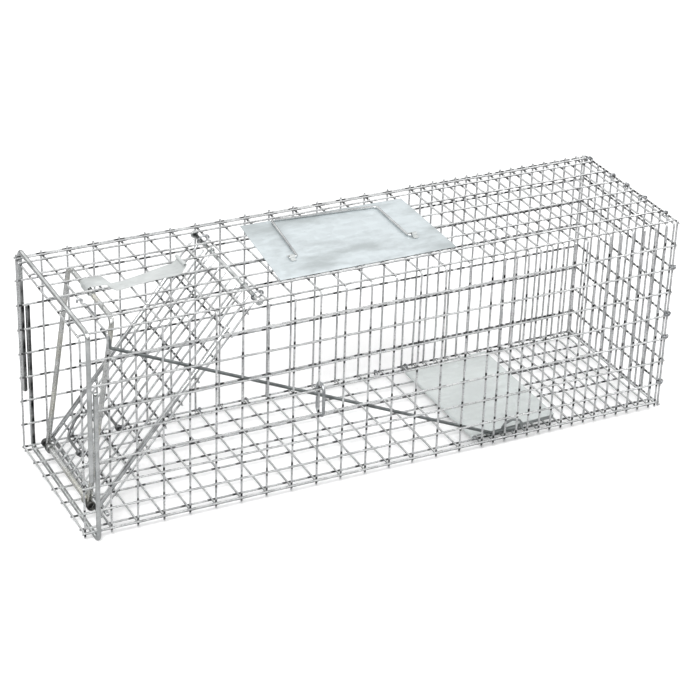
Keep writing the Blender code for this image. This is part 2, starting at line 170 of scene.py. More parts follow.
class Shape:
    """Vertices and faces gathered wire by wire, with how dark each vertex is painted: painted shade
    at the welds and on the hoops' far legs, and the darker ends of the bail's foot.
    """

    def __init__(self):
        self.points = []
        self.faces = []
        self.darkness = []
        self.count = 0

    def add(self, points, faces, darkness):
        self.points.append(points)
        self.faces += [[i + self.count for i in face] for face in faces]
        self.darkness.append(darkness)
        self.count += len(points)

    def tube(self, path, radius, sides=14, darkened=None, facing=None):
        """A round wire along a path, its cut ends slightly rounded. The last two arguments, if
        given, say how dark each point is painted and which side of it takes that darkening: at a
        weld, painted shade on the side that faces the other wire; on a hoop's leg, painted shade on
        the side away from the light."""
        path = np.array([tuple(p) for p in path])
        dark_amount = np.array(darkened if darkened is not None else [0.0] * len(path))
        run = np.diff(path, axis=0)
        run /= np.linalg.norm(run, axis=1)[:, None]
        tangent = np.vstack([run[:1], run[:-1] + run[1:], run[-1:]])
        tangent /= np.linalg.norm(tangent, axis=1)[:, None]
        ends = np.array([tangent[0], -tangent[-1]]) * radius * TIP_EASE
        path = np.vstack([path[:1], path[:1] + ends[0], path[1:-1],
                          path[-1:] + ends[1], path[-1:]])
        tangent = np.vstack([tangent[:1], tangent, tangent[-1:]])
        dark_amount = np.concatenate([dark_amount[:1], dark_amount, dark_amount[-1:]])
        radii = np.full(len(path), radius)
        radii[[0, -1]] = radius * TIP_RADIUS
        side = np.cross(tangent[0], np.eye(3)[np.argmin(np.abs(tangent[0]))])
        across = []
        for ahead in tangent:
            side = side - ahead * (side @ ahead)
            side = side / np.linalg.norm(side)
            across.append(side)
        across = np.array(across)
        other = np.cross(tangent, across)
        turn = np.arange(sides) * 2 * math.pi / sides
        spokes = (np.cos(turn)[None, :, None] * across[:, None]
                  + np.sin(turn)[None, :, None] * other[:, None])
        points = (path[:, None] + radii[:, None, None] * spokes).reshape(-1, 3)
        faces = [[i * sides + k, i * sides + (k + 1) % sides, (i + 1) * sides + (k + 1) % sides,
                  (i + 1) * sides + k] for i in range(len(path) - 1) for k in range(sides)]
        last = (len(path) - 1) * sides
        faces += [list(range(sides))[::-1], [last + k for k in range(sides)]]
        dark_amount = np.repeat(dark_amount[:, None], sides, axis=1)
        # painted shade: the side of the wire towards facing is darkest
        if facing is not None:
            toward = np.array([tuple(f) for f in facing[:1] + facing + facing[-1:]])
            dark_amount *= np.clip(0.85 + 1.4 * np.einsum("ikj,ij->ik", spokes, toward), 0, 1)
        self.add(points, faces, dark_amount.reshape(-1))

    def nugget(self, place, normal, size):
        """A squashed bead of metal where two wires are welded."""
        rings, around = 4, 8
        normal = Vector(normal).normalized()
        turn = Vector((0, 0, 1)).rotation_difference(normal).to_matrix()
        points = [Vector((0, 0, size * NUGGET_FLAT))]
        for ring in range(1, rings):
            tilt = math.pi * ring / rings
            for k in range(around):
                angle = 2 * math.pi * k / around
                points.append(Vector((size * math.sin(tilt) * math.cos(angle),
                                      size * math.sin(tilt) * math.sin(angle),
                                      size * NUGGET_FLAT * math.cos(tilt))))
        points.append(Vector((0, 0, -size * NUGGET_FLAT)))
        points = np.array([tuple(place + turn @ p) for p in points])
        faces = [[0, 1 + k, 1 + (k + 1) % around] for k in range(around)]
        for ring in range(rings - 2):
            base = 1 + ring * around
            faces += [[base + k, base + around + k, base + around + (k + 1) % around,
                       base + (k + 1) % around] for k in range(around)]
        base = 1 + (rings - 2) * around
        faces += [[base + k, len(points) - 1, base + (k + 1) % around] for k in range(around)]
        # the bead is painted a little darker
        self.add(points, faces, np.full(len(points), NUGGET_DARKNESS))

    def build(self, name, body, material, nodes):
        """The finished piece, riding on its body and standing for its CAD nodes."""
        mesh = bpy.data.meshes.new(name)
        mesh.from_pydata(np.vstack(self.points).tolist(), [], self.faces)
        # this attribute carries the painted shade and darkening into the material
        darkness = mesh.attributes.new("darkness", "FLOAT", "POINT")
        darkness.data.foreach_set("value", np.concatenate(self.darkness).astype(np.float32))
        mesh.shade_smooth()
        mesh.set_sharp_from_angle(angle=EDGE_ANGLE)
        item = bpy.data.objects.new(name, mesh)
        bpy.context.scene.collection.objects.link(item)
        place_piece(item, body, material, nodes)


def place_piece(item, body, material, nodes):
    """Gives a piece its material, its body and the CAD nodes it stands for, if any."""
    item.data.materials.clear()
    item.data.materials.append(material)
    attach(item, body)
    if nodes:
        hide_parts(*nodes)


def finer(path, step):
    """The same path with points no further apart than step."""
    made = [path[0]]
    for a, b in zip(path, path[1:]):
        count = math.ceil((b - a).length / step)
        made += [a.lerp(b, share / count) for share in range(1, count + 1)]
    return made


def rod_piece(name, body, material, slot, nodes, *runs, darkening=None, facing=None):
    """A piece made of round rods, each a (path, radius). The last arguments say how dark each place
    is painted (painted shade on the hoops' far legs, and the darker ends of the bail's foot) and
    which side of the rod takes it."""
    shape = Shape()
    for path, radius in runs:
        if darkening:
            path = finer(path, DARKENING_STEP)
            shape.tube(path, radius, darkened=[darkening(place) for place in path],
                       facing=[facing] * len(path) if facing else None)
        else:
            shape.tube(path, radius)
    shape.build(name, body, material, nodes)


def ease_edges(item, width):
    """Rounds off a piece's sharp edges when it is drawn."""
    eased = item.modifiers.new("eased edges", "BEVEL")
    eased.width = width
    eased.segments = 2
    eased.limit_method = "ANGLE"
    return eased


def sheet_piece(name, body, material, nodes, us, vs, place):
    """A piece of sheet metal: a grid of points bent by place(u, v), thickened, its edges eased."""
    bpy.ops.mesh.primitive_grid_add(x_subdivisions=len(us) - 1, y_subdivisions=len(vs) - 1, size=2)
    item = bpy.context.object
    for vertex in item.data.vertices:
        u = us[round((vertex.co.x + 1) / 2 * (len(us) - 1))]
        v = vs[round((vertex.co.y + 1) / 2 * (len(vs) - 1))]
        vertex.co = place(u, v)
    item.name = name
    item.data.name = name
    thick = item.modifiers.new("thickness", "SOLIDIFY")
    thick.thickness = SHEET
    thick.offset = 0
    thick.use_even_offset = True
    ease_edges(item, SHEET * 0.3).angle_limit = EDGE_ANGLE
    item.data.shade_smooth()
    place_piece(item, body, material, nodes)


# ---------------------------------------------------------------- welded mesh

# Painted shade along a wire from a weld's middle, standing in for the contact shade between the
# crossing wires: metres, and how dark the side that faces the other wire is painted
CROSS_SHADE = ((0.0006, 0.6), (0.0010, 1.0), (0.0038, 1.0), (0.0046, 0.0))
LONG_SHADE = ((0.0006, 0.6), (0.0011, 1.0), (0.0050, 1.0), (0.0060, 0.0))


def weld_samples(stops, shade_profile, start, end, chance, extra=()):
    """Places along a wire, closer together at its welds, each with how much painted shade it
    carries there.
    """
    found = [(start, 0.0), (end, 0.0)] + [(place, 0.0) for place in extra]
    for stop in stops:
        for way in (-1, 1):
            stretch = chance.uniform(0.7, 1.05)
            strength = chance.uniform(0.75, 1.0)
            found += [(stop + way * reach * stretch, dark_amount * strength) for reach, dark_amount in shade_profile
                      if start < stop + way * reach * stretch < end]
    return sorted(found)


def mesh_panel(name, body, material, nodes, place, rows, stations, row_span, station_span,
               seed, bends=()):
    """A welded panel. place(u, v, out) puts a point of it in space; rows are the places of the
    outer wires, which run along u, and stations those of the inner wires, along v."""
    chance = random.Random(seed)
    shape = Shape()

    def wander():
        phase = chance.uniform(0, 20)
        shift = chance.uniform(-WAVE, WAVE)
        return lambda t: shift + WAVE * math.sin(t * 41 + phase) * math.sin(t * 17 + 2 * phase)

    for v in rows:
        off = wander()
        lean = wander()
        samples = weld_samples(stations, LONG_SHADE, *row_span, chance)
        path = [place(u, v + off(u), LIFT + 0.5 * lean(u)) for u, dark_amount in samples]
        # the painted shade is darkest on the side of each wire that faces the other wire
        inward = [(place(u, v, 0) - place(u, v, 0.001)) * 1000 for u, dark_amount in samples]
        shape.tube(path, MESH_WIRE, MESH_SIDES, [dark_amount for u, dark_amount in samples], inward)
    for u in stations:
        off = wander()
        lean = wander()
        samples = weld_samples(rows, CROSS_SHADE, *station_span, chance, bends)
        path = [place(u + off(v), v, -LIFT + 0.5 * lean(v)) for v, dark_amount in samples]
        outward = [(place(u, v, 0.001) - place(u, v, 0)) * 1000 for v, dark_amount in samples]
        shape.tube(path, MESH_WIRE, MESH_SIDES, [dark_amount for v, dark_amount in samples], outward)
        for v in rows:
            middle = place(u, v, 0)
            size = NUGGET * chance.uniform(0.9, 1.12)
            shape.nugget(middle, place(u, v, 0.001) - middle, size)
    shape.build(name, body, material, nodes)


def evenly(start, stop, steps):
    """The steps + 1 values from start to stop."""
    return [start + (stop - start) * step / steps for step in range(steps + 1)]


def spread(start, stop, pitch):
    """Even places from start towards stop, with stop too if it falls on the pitch."""
    count = int(abs(stop - start) / pitch + 0.02)
    way = math.copysign(pitch, stop - start)
    return [start + i * way for i in range(count + 1)]


SQUARE = 1 * INCH
HALF_SQUARE = 0.5 * INCH
FINE_START = 16 * INCH
# Places of the cross wires, and how far the long wires run
STATIONS = (spread(FRONT + MESH_WIRE, FRONT + FINE_START - SQUARE + MESH_WIRE, SQUARE)
            + spread(FRONT + FINE_START, REAR - 2 * INSET - HALF_SQUARE / 2, HALF_SQUARE)
            + [REAR - 2 * INSET - MESH_WIRE - GAP])
LONG_SPAN = (FRONT - 0.0008, REAR - 2 * INSET - GAP)
UP_THE_WALL = [row * SQUARE for row in range(1, 8)]
LOWEST_WIRE = MESH_WIRE + 0.0002


def near_wall_and_roof(zinc):
    """One folded sheet: up the near wall, round the bend and across the roof."""
    side_top = ROOF - INSET - BEND
    bend_length = BEND * math.pi / 2
    flat_start = side_top + bend_length

    def place(u, v, out):
        if v < side_top:
            return Vector((u, NEAR + INSET - out, v))
        if v < flat_start:
            angle = (v - side_top) / BEND
            reach = BEND + out
            return Vector((u, NEAR + INSET + BEND - reach * math.cos(angle),
                           side_top + reach * math.sin(angle)))
        return Vector((u, NEAR + INSET + BEND + v - flat_start, ROOF - INSET + out))

    def on_roof(across):
        return flat_start + across - INSET - BEND

    side_rows = [0.17 * INCH] + UP_THE_WALL
    roof_rows = [0.235, 1.19, 2.19, 3.19, 4.19, 5.19, 6.19, 6.56]  # inches across
    rows = side_rows + [on_roof(across * INCH) for across in roof_rows]
    bends = [side_top + bend_length * step / 6 for step in range(7)]
    mesh_panel("wire_near_wall_and_roof", "cage", zinc,
               ("near_side_panel", "roof_panel"), place, rows, STATIONS, LONG_SPAN,
               (-0.0014, on_roof(6.62 * INCH)), 11, bends)


def far_wall(zinc):
    """Its uprights stand a little further forward than the near wall's and reach above the roof."""
    rows = [LOWEST_WIRE] + UP_THE_WALL + [ROOF - MESH_WIRE - 0.0006]
    stations = STATIONS[:1] + [place - 0.0015 for place in STATIONS[1:]]
    mesh_panel("wire_far_wall", "cage", zinc, ("far_side_panel",),
               lambda u, v, out: Vector((u, FAR - INSET + out, v)),
               rows, stations, LONG_SPAN, (0, ROOF + 0.0022), 12)


def floor_mesh(zinc):
    rows = [NEAR + across * INCH for across in (0.20, 0.52, 1.45, 2.45, 3.45, 4.45, 5.45, 6.42)]
    mesh_panel("wire_floor", "cage", zinc, ("floor_panel",),
               lambda u, v, out: Vector((u, v, INSET - out)),
               rows, STATIONS, LONG_SPAN, (NEAR + 2 * INSET + GAP, FAR - 2 * INSET - GAP), 13)


def rear_wall(zinc):
    rows = [LOWEST_WIRE] + UP_THE_WALL + [ROOF - MESH_WIRE - 0.0004]
    uprights = spread(FAR - MESH_WIRE, NEAR + 0.4 * INCH, HALF_SQUARE) + [NEAR + MESH_WIRE]
    mesh_panel("wire_rear_wall", "cage", zinc, ("rear_panel",),
               lambda u, v, out: Vector((REAR - INSET + out, u, v)),
               rows, uprights, (NEAR - 0.0004, FAR + 0.0004), (0, ROOF + 0.0006), 14)


def tie_rings(dark):
    """Wire rings pinched round two neighbouring wires, their ends lapped."""
    for node in sorted(frame["nodes"]):
        if "_ring_" not in node:
            continue
        low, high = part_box(node)
        size = high - low
        axis = min(range(3), key=lambda i: size[i])
        along = Vector([float(i == (axis + 1) % 3) for i in range(3)])
        up = Vector([float(i == (axis + 2) % 3) for i in range(3)])
        thin = Vector([float(i == axis) for i in range(3)])
        radius = 0.80 * (max(size) / 2 - RING_WIRE)
        chance = random.Random(node)
        start = chance.uniform(0, 360)
        lap = 410  # degrees: a full turn and the lapped ends
        path = arc((low + high) / 2 - thin * RING_WIRE * 0.9, radius, start, lap, 28, along,
                   up * chance.uniform(0.86, 1.0), thin * RING_WIRE * 1.9)
        rod_piece("wire_" + node, "cage", dark, "tie_ring", (node,), (path, RING_WIRE))


def hinge_clips(dark):
    """A small link at each end of the hinge rod, pinched round it and the roof's cross wire."""
    for side in ("near", "far"):
        node = "hinge_clip_" + side
        place = centre(node)
        rod = Vector((DOOR_HINGE.x, place.y, DOOR_HINGE.z))
        wire = Vector((min(STATIONS, key=lambda x: abs(x - rod.x)), place.y, ROOF - INSET - LIFT))
        way = (wire - rod).normalized()
        side_on = Vector((-way.z, 0, way.x))
        path = arc(rod, HINGE_ROD + RING_WIRE + GAP, 90, 180, 14, way, side_on)
        path += arc(wire, MESH_WIRE + RING_WIRE + GAP, -90, 180, 14, way, side_on)
        lap = 2.1 * RING_WIRE  # sideways, so that the ends pass each other
        last = len(path) - 1
        path = [p + Vector((0, (i / last - 0.5) * lap, 0)) for i, p in enumerate(path)]
        rod_piece("wire_" + node, "cage", dark, "tie_ring", (node,),
                  (path + [path[0] + Vector((0, lap, 0))], RING_WIRE))


# ---------------------------------------------------------------- front end


SHADED_SIDE = Vector((2.7, -1.3, 0))  # the side the painted shade darkens; a long vector gives that painted shade a sharper edge


def leg_shade(place):
    """Painted shade: darkest on the far legs, from a little under the roof downwards, in streaks.
    """
    far_share = min(1, max(0, (place.y - MIDDLE) / (FAR - MIDDLE) * 1.6 - 0.6))
    down_share = min(1, max(0, (ROOF - 0.7 * INCH - place.z) / INCH))
    streaks = 0.5 + 0.3 * math.sin(place.z * 310) + 0.2 * math.sin(place.z * 730 + 1)
    return far_share * (0.12 + (0.45 + 0.55 * streaks) * down_share)


def front_hoops(bright):
    """Two U rods round the front: the upper one's legs hang down, the lower one's stand up."""
    for node, open_end in (("front_hoop_upper", "low"), ("front_hoop_lower", "high")):
        low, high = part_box(node)
        back = (low.x + high.x) / 2
        near = low.y + HOOP_ROD
        far = high.y - HOOP_ROD
        if open_end == "low":
            end, turn = low.z, high.z - HOOP_ROD
        else:
            end, turn = high.z, low.z + HOOP_ROD
        corners = [Vector((back, near, end)), Vector((back, near, turn)),
                   Vector((back, far, turn)), Vector((back, far, end))]
        # the legs carry painted shade, darkest on the far side
        rod_piece("rod_" + node, "cage", bright, "hoop_rod", (node,),
                  (rounded(corners, 0.24 * INCH, 12), HOOP_ROD * HOOP_SLIM),
                  darkening=leg_shade, facing=SHADED_SIDE)


DOOR_HINGE = joint_place("door_swing")
DOOR_FOOT = spot(0.84, (MIDDLE - NEAR) / INCH, 0.42)
DOOR_SLOPE = (DOOR_HINGE - DOOR_FOOT).normalized()
DOOR_LENGTH = (DOOR_HINGE - DOOR_FOOT).length
DOOR_OUT = Vector((-DOOR_SLOPE.z, 0, DOOR_SLOPE.x))
DOOR_SINK = 0.0004  # of the mesh, to clear the side rods
DOOR_ROD_LIFT = 0.0035  # of the side rods above the mesh, and of the bottom rod below it
DOOR_ROD_START = 0.15 * INCH  # up the slope from the foot
PULL_WIRE = 1.3 * LIGHT_WIRE
EYE_SEAT = 0.00147  # how high above the mesh the eyes' tails lie
PULL_SEAT = 0.0012
CAP_INSET = 0.0016  # of the hinge rod's caps from its ends


def on_door(up, across, above=0.0):
    """A place on the door: metres up the slope from its foot, inches from the near wall, metres
    above its wires."""
    place = DOOR_FOOT + DOOR_SLOPE * up + DOOR_OUT * above
    place.y = NEAR + across * INCH
    return place


def door(door_zinc, rod_zinc, dark):
    """The sloping mesh with its edge rods, the two eyes it hangs by and the curved pull."""
    top = DOOR_LENGTH - HINGE_ROD - 2 * MESH_WIRE
    slope_wires = spread(6.16, 0.62, 0.5)
    crossings = [-0.06 * INCH] + [(0.9 + row) * INCH for row in range(9)]
    mesh_panel("wire_door", "door", door_zinc, ("door_mesh",),
               lambda u, v, out: on_door(v, u / INCH, -out - DOOR_SINK),
               crossings, [wire * INCH for wire in slope_wires],
               (0.56 * INCH, 6.22 * INCH), (-0.10 * INCH, top), 15)
    for side, across in (("near", 0.85), ("far", 5.90)):
        path = [on_door(DOOR_ROD_START, across, DOOR_ROD_LIFT),
                on_door(8.1 * INCH, across, DOOR_ROD_LIFT)]
        rod_piece(f"rod_door_side_{side}", "door", rod_zinc, "door_rod",
                  (f"door_side_rod_{side}",), (path, SIDE_ROD))
    foot = [on_door(DOOR_ROD_START, across, -DOOR_ROD_LIFT) for across in (0.45, 6.30)]
    rod_piece("rod_door_foot", "door", rod_zinc, "door_rod", ("door_bottom_rod",),
              (foot, SIDE_ROD))
    for side, across in (("near", 1.75), ("far", 4.75)):
        eye = HINGE_ROD + GAP + EYE_WIRE
        seat = EYE_SEAT + EYE_WIRE
        start = math.degrees(math.asin(seat / eye))
        middle = on_door(DOOR_LENGTH, across)
        curl = arc(middle, eye, 180 - start, -300, 26, DOOR_SLOPE, DOOR_OUT)
        tail = [on_door(DOOR_LENGTH - 1.4 * INCH, across, seat),
                on_door(DOOR_LENGTH - 2 * eye, across, seat)]
        rod_piece(f"wire_door_eye_{side}", "door", rod_zinc, "door_rod",
                  (f"door_hinge_eye_{side}",), (tail + curl, EYE_WIRE))
    seat = PULL_SEAT + GAP + PULL_WIRE
    rise = seat + 0.22 * INCH
    corners = [on_door(0.75 * INCH, 3.85, seat), on_door(0.85 * INCH, 4.85, rise),
               on_door(1.65 * INCH, 5.05, rise), on_door(2.60 * INCH, 4.05, rise),
               on_door(2.55 * INCH, 2.75, seat)]
    runs = [(rounded(corners, 0.36 * INCH, 10), PULL_WIRE)]
    wrap_width = 0.0044
    for end in (corners[0], corners[-1]):
        wrap = arc(end + Vector((0, -wrap_width / 2, 0)), 0.0021, 200, 760, 44,
                   DOOR_SLOPE, DOOR_OUT, Vector((0, wrap_width, 0)))
        runs.append((wrap, LIGHT_WIRE))
    rod_piece("wire_door_pull", "door", dark, "door_rod", ("door_pull_loop",), *runs)


def hinge_rod(bright):
    """The door's hinge rod, with a push-on cap at each end."""
    path = crossbar("door_hinge_rod", DOOR_HINGE)
    runs = [(path, HINGE_ROD)]
    for end, way in zip(path, (1, -1)):
        middle = end + Vector((0, way * CAP_INSET, 0))
        runs.append((arc(middle, HINGE_ROD + HINGE_CAP, 40, 400, 26), HINGE_CAP))
    rod_piece("rod_door_hinge", "cage", bright, "door_rod", ("door_hinge_rod",), *runs)


# ---------------------------------------------------------------- lock bail


BAIL_BAR = joint_place("bail_swing")


def foot_darkening(place):
    """Darkest at the two ends of the bail's foot."""
    return 0.9 * min(1, max(0, 3 * abs(place.y - MIDDLE) / INCH - 5.2))


def lock_bail(dull):
    """The hanging U rod, and its foot rod with a wire coil on both sides of each leg."""
    foot = centre("bail_foot_rod")
    low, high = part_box("lock_bail")
    near = low.y + HOOP_ROD
    far = high.y - HOOP_ROD
    drop = foot - BAIL_BAR
    stop = BAIL_BAR + drop * (1 - FOOT_ROD * 0.6 / drop.length)
    corners = [Vector((stop.x, near, stop.z)), Vector((BAIL_BAR.x, near, BAIL_BAR.z)),
               Vector((BAIL_BAR.x, far, BAIL_BAR.z)), Vector((stop.x, far, stop.z))]
    rod_piece("rod_lock_bail", "bail", dull, "bail_rod", ("lock_bail",),
              (rounded(corners, 0.30 * INCH, 12), HOOP_ROD))
    runs = [(crossbar("bail_foot_rod", foot), FOOT_ROD)]
    coil_pitch = 0.0021
    for leg, way in ((near, 1), (far, -1)):
        for side, turns in ((way, 3), (-way, 2)):
            start = Vector((foot.x, leg + side * (HOOP_ROD + LIGHT_WIRE), foot.z))
            coil = arc(start, FOOT_ROD + LIGHT_WIRE * 0.9, 60, 360 * turns, 24 * turns,
                       drift=Vector((0, side * coil_pitch * turns, 0)))
            runs.append((coil, LIGHT_WIRE))
    rod_piece("rod_bail_foot", "bail", dull, "bail_rod", ("bail_foot_rod",), *runs,
              darkening=foot_darkening)


# Along the hanger strip from its rear end: inches back from the front, metres above the roof, and
# the places of its two edges in inches across
STRAP = ((5.20, 0.26 * INCH, 3.18, 3.98), (5.14, 0.16 * INCH, 3.16, 3.98),
         (5.05, 0.07 * INCH, 3.13, 3.97), (4.92, 0.0003, 3.06, 3.94), (4.60, 0, 3.02, 3.88),
         (4.10, 0, 2.99, 3.74), (3.60, 0, 2.94, 3.57), (3.20, 0, 2.88, 3.47),
         (2.80, 0, 2.78, 3.37), (2.40, 0, 2.72, 3.33), (2.30, 0, 2.90, 3.90),
         (2.22, 0, 3.30, 4.02))
STRAP_ROLL = 0.0014  # radius of its rolled rear end


def bail_hanger(sheet):
    """The strip on the roof: folded down round the bail's bar in front, rolled up at the rear."""
    lie = ROOF + GAP + SHEET / 2
    curl = HOOP_ROD + GAP + SHEET / 2
    bar = Vector((BAIL_BAR.x, 0, BAIL_BAR.z))
    hook = [(p.x, p.z) for p in arc(bar, curl, 25, -205, 18)]
    rear_back, rear_rise, rear_low, rear_high = STRAP[0]
    top = Vector((FRONT + rear_back * INCH - STRAP_ROLL, 0, lie + rear_rise))
    profile = [(p.x, p.z, rear_low, rear_high) for p in arc(top, STRAP_ROLL, 290, -290, 14)]
    profile += [(FRONT + back * INCH, lie + rise, low, high)
                for back, rise, low, high in STRAP[1:]]
    fold = [(bar.x - curl * 0.2, lie), (bar.x - curl, lie - 0.0012)] + hook[::-1]
    profile += [(x, z, 3.35, 4.03) for x, z in fold]

    def place(u, v):
        x, z, low, high = profile[u]
        return Vector((x, NEAR + (low + (high - low) * v) * INCH, z))

    sheet_piece("sheet_bail_hanger", "cage", sheet, ("bail_hanger",),
                list(range(len(profile))), evenly(0, 1, 10), place)


def bail_keeper(bright):
    """A light wire curled round a roof wire, then run across in front of the bail's bar."""
    across = 2.72
    wire = Vector((FRONT + 1 * INCH, NEAR + across * INCH, ROOF - INSET - LIFT))
    curl = arc(wire, MESH_WIRE + GAP + LIGHT_WIRE, 210, -260, 20)
    path = curl + rounded([curl[-1] + Vector((0.0004, 0, -0.001)), spot(1.24, across, 7.72),
                           spot(1.24, 1.52, 7.72)], 0.08 * INCH, 6)
    rod_piece("wire_bail_keeper", "cage", bright, "small_wire", ("bail_keeper",),
              (path, LIGHT_WIRE))


# ---------------------------------------------------------------- treadle and trigger


TREADLE_HINGE = joint_place("treadle_tilt")
TREADLE_RISE = 0.15 * INCH  # of the pan, from its hinge to its rear edge
PAN_SHORT = 0.2 * INCH  # the pan ends this much before its CAD box
PAN_DISH = 0.0004
FLANGE_DEEP = 0.0012  # at the hinge; it is deeper towards the rear, a dark wedge that paints in the shadow gap under the pan
FLANGE_INSET = 0.0005
FLANGE_LEAN = 0.0004
EAR_PIN = 1.88 * INCH  # from the treadle's hinge back to the trigger's end in the ear
TRIGGER_LOW = 0.295 * INCH  # height of its flat run


def treadle(sheet, bright, dark):
    """The pan, rolled round its hinge wire, the flange under its near edge and the ear; the flange
    and the ear are painted dark for shade.
    """
    low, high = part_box("treadle_plate")
    curl = TREADLE_PIN + GAP + SHEET / 2
    length = high.x - PAN_SHORT - TREADLE_HINGE.x
    profile = [(p.x, p.z) for p in arc(Vector((0, 0, 0)), curl, -30, -240, 20)]
    profile += [(x, curl) for x in evenly(curl + 0.001, length, 24)]
    across = evenly(low.y, high.y, 28)

    def place(u, v):
        x, z = profile[u]
        along = max(0, x - curl) / length
        side = (across[v] - low.y) / (high.y - low.y)
        dish = PAN_DISH * math.sin(math.pi * side) * math.sin(math.pi * min(1, along))
        rise = TREADLE_RISE * along - dish * (x > curl)
        return Vector((TREADLE_HINGE.x + x, across[v], TREADLE_HINGE.z + z + rise))

    sheet_piece("sheet_treadle", "treadle", sheet, ("treadle_plate",),
                list(range(len(profile))), list(range(len(across))), place)

    def flange_place(u, v):
        along = max(0, u - curl) / length
        top = curl - SHEET / 2 - GAP / 2 + TREADLE_RISE * along
        deep = FLANGE_DEEP + 0.85 * TREADLE_RISE * along
        return Vector((TREADLE_HINGE.x + u, low.y + FLANGE_INSET + FLANGE_LEAN * v,
                       TREADLE_HINGE.z + top - deep * v))

    # painted shade: the flange is dark to stand for the shadow under the pan's near edge
    sheet_piece("sheet_treadle_shadow_flange", "treadle", dark, (),
                evenly(curl + 0.002, length - 0.001, 12), evenly(0, 1, 4), flange_place)
    rod_piece("wire_treadle_hinge", "cage", bright, "small_wire", ("treadle_hinge_wire",),
              (crossbar("treadle_hinge_wire", TREADLE_HINGE), TREADLE_PIN))
    ear = frame["nodes"]["treadle_ear"]
    # the ear is painted dark for the shade on its face
    ear.data.materials.clear()
    ear.data.materials.append(dark)
    ease_edges(ear, SHEET * 0.25)


def trigger_rod(dull):
    """Bent across at the top, sloping down along the near wall, then flat to the ear's slot."""
    across = 0.30
    top = spot(1.20, across, 7.22)
    run = (spot(9.10, across, 3.66) - top).normalized()
    foot = top + run * ((TRIGGER_LOW - top.z) / run.z)
    rear = Vector((TREADLE_HINGE.x + EAR_PIN, top.y, TRIGGER_LOW))
    pin = rear + Vector((0, 0.15 * INCH - GAP, 0))
    corners = [spot(1.16, 1.02, 7.60), spot(1.16, across, 7.60), top, foot, rear, pin]
    rod_piece("rod_trigger", "trigger", dull, "trigger_wire", ("trigger_rod",),
              (rounded(corners, 0.11 * INCH, 8), TRIGGER_ROD))


def guide_link(bright):
    """The long open link on the near wall that the trigger rod slides through."""
    low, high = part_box("rod_guide_ring")
    back = (low.x + high.x) / 2
    outer, inner = low.y + LINK_WIRE, high.y - LINK_WIRE
    bottom, top = low.z + LINK_WIRE, high.z - LINK_WIRE
    middle = (bottom + top) / 2
    slit = 0.0003  # half of the space between its ends
    corners = [Vector((back, inner, middle + slit)), Vector((back, inner, top)),
               Vector((back, outer, top)), Vector((back, outer, bottom)),
               Vector((back, inner, bottom)), Vector((back, inner, middle - slit))]
    rod_piece("wire_guide_link", "cage", bright, "small_wire", ("rod_guide_ring",),
              (rounded(corners, 0.24 * INCH, 10), LINK_WIRE))


# ---------------------------------------------------------------- handle


HANDLE_AXIS = joint_place("handle_swing")
PLATE_CORNERS = ((7.98, 1.25), (15.07, 1.28), (15.12, 5.80), (8.45, 5.88))  # inches back, across
PLATE_DENTS = 14
STRAP_FOOT = 0.0038  # how far each foot of a handle strap lies on the plate
STRAP_WIDTH = 0.0048


def handle_plate(sheet):
    """A thin sheet cut a little out of square, slightly dented by use."""
    low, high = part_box("handle_plate")
    chance = random.Random(5)
    dents = [(chance.uniform(low.x, high.x), chance.uniform(low.y, high.y),
              chance.uniform(0.012, 0.03), chance.uniform(-0.00022, 0.00012))
             for count in range(PLATE_DENTS)]
    corners = [spot(back, across, 0) for back, across in PLATE_CORNERS]
    near_front, near_rear, far_rear, far_front = corners
    middle = (low.z + high.z) / 2

    def place(u, v):
        flat = near_front.lerp(near_rear, u).lerp(far_front.lerp(far_rear, u), v)
        rise = 0.0001
        for x, y, reach, height in dents:
            rise += height * math.exp(-((flat.x - x) ** 2 + (flat.y - y) ** 2) / reach ** 2)
        return Vector((flat.x, flat.y, middle + max(0, rise)))

    sheet_piece("sheet_handle_plate", "cage", sheet, ("handle_plate",),
                evenly(0, 1, 60), evenly(0, 1, 40), place)


def handle(bright, sheet):
    """The folding wire, lying on the plate, and the two bent straps it turns in."""

    def flat(back, across):
        place = spot(back, across, 0)
        place.z = HANDLE_AXIS.z
        return place

    corners = [flat(8.95, 2.65), flat(9.28, 2.65), flat(9.66, 5.75), flat(13.84, 5.38),
               flat(13.80, 2.65), flat(14.14, 2.65)]
    rod_piece("wire_handle", "handle", bright, "handle_wire", ("handle",),
              (rounded(corners, 0.15 * INCH, 10), HANDLE_WIRE))
    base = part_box("handle_plate")[1].z + 2 * GAP
    arch = HANDLE_WIRE + 2 * GAP + SHEET / 2
    foot = [(arch + 0.0006, 0.0004), (arch + STRAP_FOOT / 2, 0.0003), (arch + STRAP_FOOT, 0.0003)]
    over = arc(Vector((0, 0, HANDLE_AXIS.z - base)), arch, 180, -180, 14)
    profile = [(-y, z) for y, z in reversed(foot)] + [(p.x, p.z) for p in over] + foot
    for side in ("front", "rear"):
        middle = centre("handle_staple_" + side)

        def place(u, v):
            y, z = profile[u]
            return Vector((middle.x + (v - 0.5) * STRAP_WIDTH, HANDLE_AXIS.y + y, base + z))

        sheet_piece(f"strap_handle_{side}", "cage", sheet,
                    (f"handle_staple_{side}",), list(range(len(profile))), evenly(0, 1, 6), place)


# ---------------------------------------------------------------- materials


def feed(tree, entry, value):
    """Links another node's output to an input, or sets a plain value."""
    if isinstance(value, bpy.types.NodeSocket):
        tree.links.new(value, entry)
    else:
        entry.default_value = value


def add(tree, kind, values=None, **settings):
    """A node with its settings and its inputs."""
    made = tree.nodes.new(kind)
    for name, value in settings.items():
        setattr(made, name, value)
    for name, value in (values or {}).items():
        feed(tree, made.inputs[name], value)
    return made


